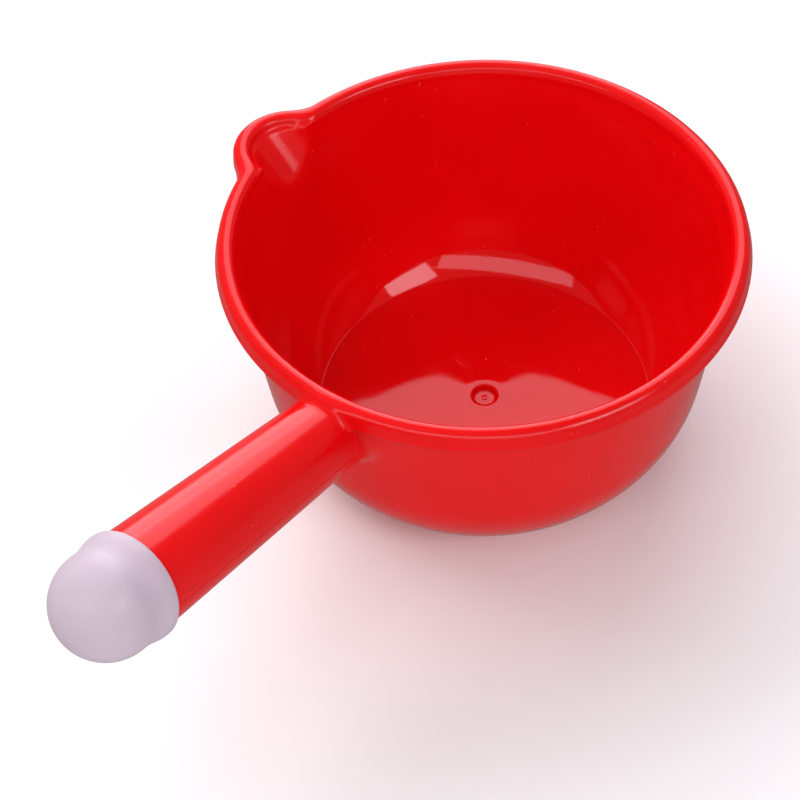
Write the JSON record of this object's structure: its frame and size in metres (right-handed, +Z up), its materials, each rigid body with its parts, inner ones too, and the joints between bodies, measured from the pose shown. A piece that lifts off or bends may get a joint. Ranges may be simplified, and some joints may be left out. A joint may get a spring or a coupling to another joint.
{
  "type": "water dipper",
  "caption": "Round plastic water dipper with a rolled rim, a side pouring spout and a sloping hollow handle closed by a pull-off ball-ended cap.",
  "frame": {"origin": "middle of the foot ring, on the surface that the dipper stands on", "axes": "+Z up along the bowl's axis; the handle points along -Y and the spout along -X"},
  "size_m": [0.1922, 0.3027, 0.1143],
  "materials": {
    "red_plastic": "glossy moulded polypropylene",
    "white_plastic": "satin moulded plastic"
  },
  "bodies": {
    "dipper": {"dipper_body": "red_plastic"},
    "cap": {"end_cap": "white_plastic"}
  },
  "joints": [
    {"name": "cap_pull", "type": "slide", "parent": "dipper", "child": "cap", "axis": [0, -0.9711, 0.2385], "range_m": [0, 0.03]}
  ]
}
